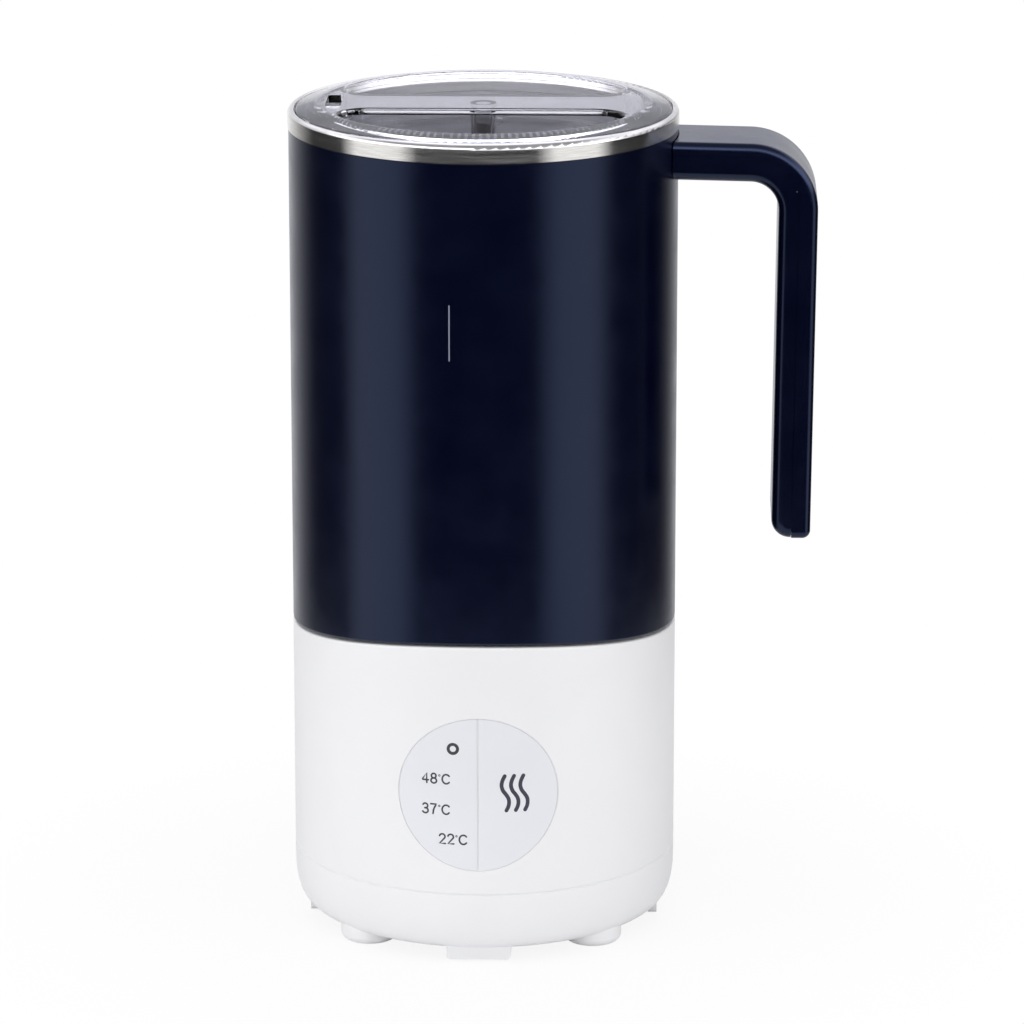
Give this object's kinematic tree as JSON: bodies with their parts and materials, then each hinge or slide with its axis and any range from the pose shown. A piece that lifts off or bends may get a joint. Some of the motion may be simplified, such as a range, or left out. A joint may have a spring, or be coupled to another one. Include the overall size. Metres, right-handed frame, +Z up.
{
  "type": "baby formula maker",
  "caption": "Cylindrical baby formula maker: white heated stirring base with a split round button, lift-off navy jug with steel liner and hooked handle, clear lid.",
  "frame": {"origin": "on the jug's axis, in the plane that the four feet stand on", "axes": "+Z up along the jug's axis, -Y the side with the buttons, +X towards the handle"},
  "size_m": [0.1427, 0.1062, 0.2276],
  "materials": {
    "white_plastic": "satin warm white moulding",
    "button_plastic": "satin pale blue-grey moulding",
    "navy_plastic": "satin dark navy moulding",
    "clear_plastic": "clear moulded copolyester with a faint cool tint",
    "brushed_steel": "brushed around the axis",
    "plain_steel": "bright zinc plate",
    "magnet_nickel": "nickel plate",
    "foot_silicone": "translucent pale silicone",
    "grey_silicone": "matt grey silicone",
    "stirrer_plastic": "matt grey moulding",
    "black_plastic": "matt black moulding",
    "copper_wire": "enamelled copper winding",
    "wire_insulation": "pale insulation",
    "circuit_board": "green solder mask",
    "terminal_green": "moulded",
    "transformer_yellow": "taped winding",
    "sink_aluminium": "extruded",
    "led_lens": "diffusing lens"
  },
  "bodies": {
    "base": {"base_housing": "white_plastic", "bottom_cover": "white_plastic", "seat_tray": "white_plastic", "sensor_seal": "grey_silicone", "rubber_feet": "foot_silicone", "cord_gland": "grey_silicone", "induction_coil": "copper_wire", "coil_carrier": "black_plastic", "ferrite_bars": "black_plastic", "coil_leads": "wire_insulation", "drive_motor": "plain_steel", "motor_end_cap": "black_plastic", "motor_bracket": "brushed_steel", "motor_leads": "wire_insulation", "sensor_spring": "plain_steel", "button_frame": "black_plastic", "control_board": "circuit_board", "button_switches": "black_plastic", "indicator_leds": "led_lens", "power_board": "circuit_board", "terminal_block": "terminal_green", "filter_choke": "copper_wire", "smoothing_capacitors": "black_plastic", "heat_sink": "sink_aluminium", "driver_transistor": "black_plastic", "supply_transformer": "transformer_yellow", "ribbon_cable": "wire_insulation", "housing_screws": "plain_steel", "tray_screws": "plain_steel", "bracket_screws": "plain_steel", "carrier_screws": "plain_steel", "motor_screws": "plain_steel", "board_screws": "plain_steel", "button_screws": "plain_steel"},
    "select_button": {"select_button": "button_plastic", "select_plunger": "black_plastic"},
    "heat_button": {"heat_button": "button_plastic", "heat_plunger": "black_plastic"},
    "rotor": {"rotor_shaft": "plain_steel", "magnet_hub": "black_plastic", "drive_magnets": "magnet_nickel"},
    "sensor": {"sensor_plunger": "plain_steel"},
    "jug": {"jug_jacket": "navy_plastic", "inner_pot": "brushed_steel", "jug_bottom": "navy_plastic", "pot_gasket": "grey_silicone", "stirrer_pin": "brushed_steel", "handle_inner": "navy_plastic", "handle_outer": "navy_plastic", "handle_bracket": "brushed_steel", "handle_screws": "plain_steel"},
    "stirrer": {"stirrer": "stirrer_plastic", "stirrer_magnets": "magnet_nickel"},
    "lid": {"lid": "clear_plastic", "lid_seal": "grey_silicone"}
  },
  "joints": [
    {"name": "select_press", "type": "slide", "parent": "base", "child": "select_button", "axis": [0, 1, 0], "range_m": [0, 0.0006], "stiffness_N_per_m": 1500},
    {"name": "heat_press", "type": "slide", "parent": "base", "child": "heat_button", "axis": [0, 1, 0], "range_m": [0, 0.0006], "stiffness_N_per_m": 1500},
    {"name": "rotor_spin", "type": "hinge", "parent": "base", "child": "rotor", "pos_m": [0, 0, 0.07], "axis": [0, 0, 1], "continuous": true},
    {"name": "sensor_press", "type": "slide", "parent": "base", "child": "sensor", "axis": [0, 0, 1], "range_m": [-0.0012, 0], "stiffness_N_per_m": 500, "deforming": ["sensor_spring"]},
    {"name": "jug_lift", "type": "slide", "parent": "base", "child": "jug", "axis": [0, 0, 1], "range_m": [0, 0.12]},
    {"name": "stirrer_spin", "type": "hinge", "parent": "jug", "child": "stirrer", "pos_m": [0, 0, 0.085], "axis": [0, 0, 1], "continuous": true},
    {"name": "lid_lift", "type": "slide", "parent": "jug", "child": "lid", "axis": [0, 0, 1], "range_m": [0, 0.06]}
  ],
  "couplings": [
    {"joint": "stirrer_spin", "follows": "rotor_spin", "ratio": 1}
  ]
}
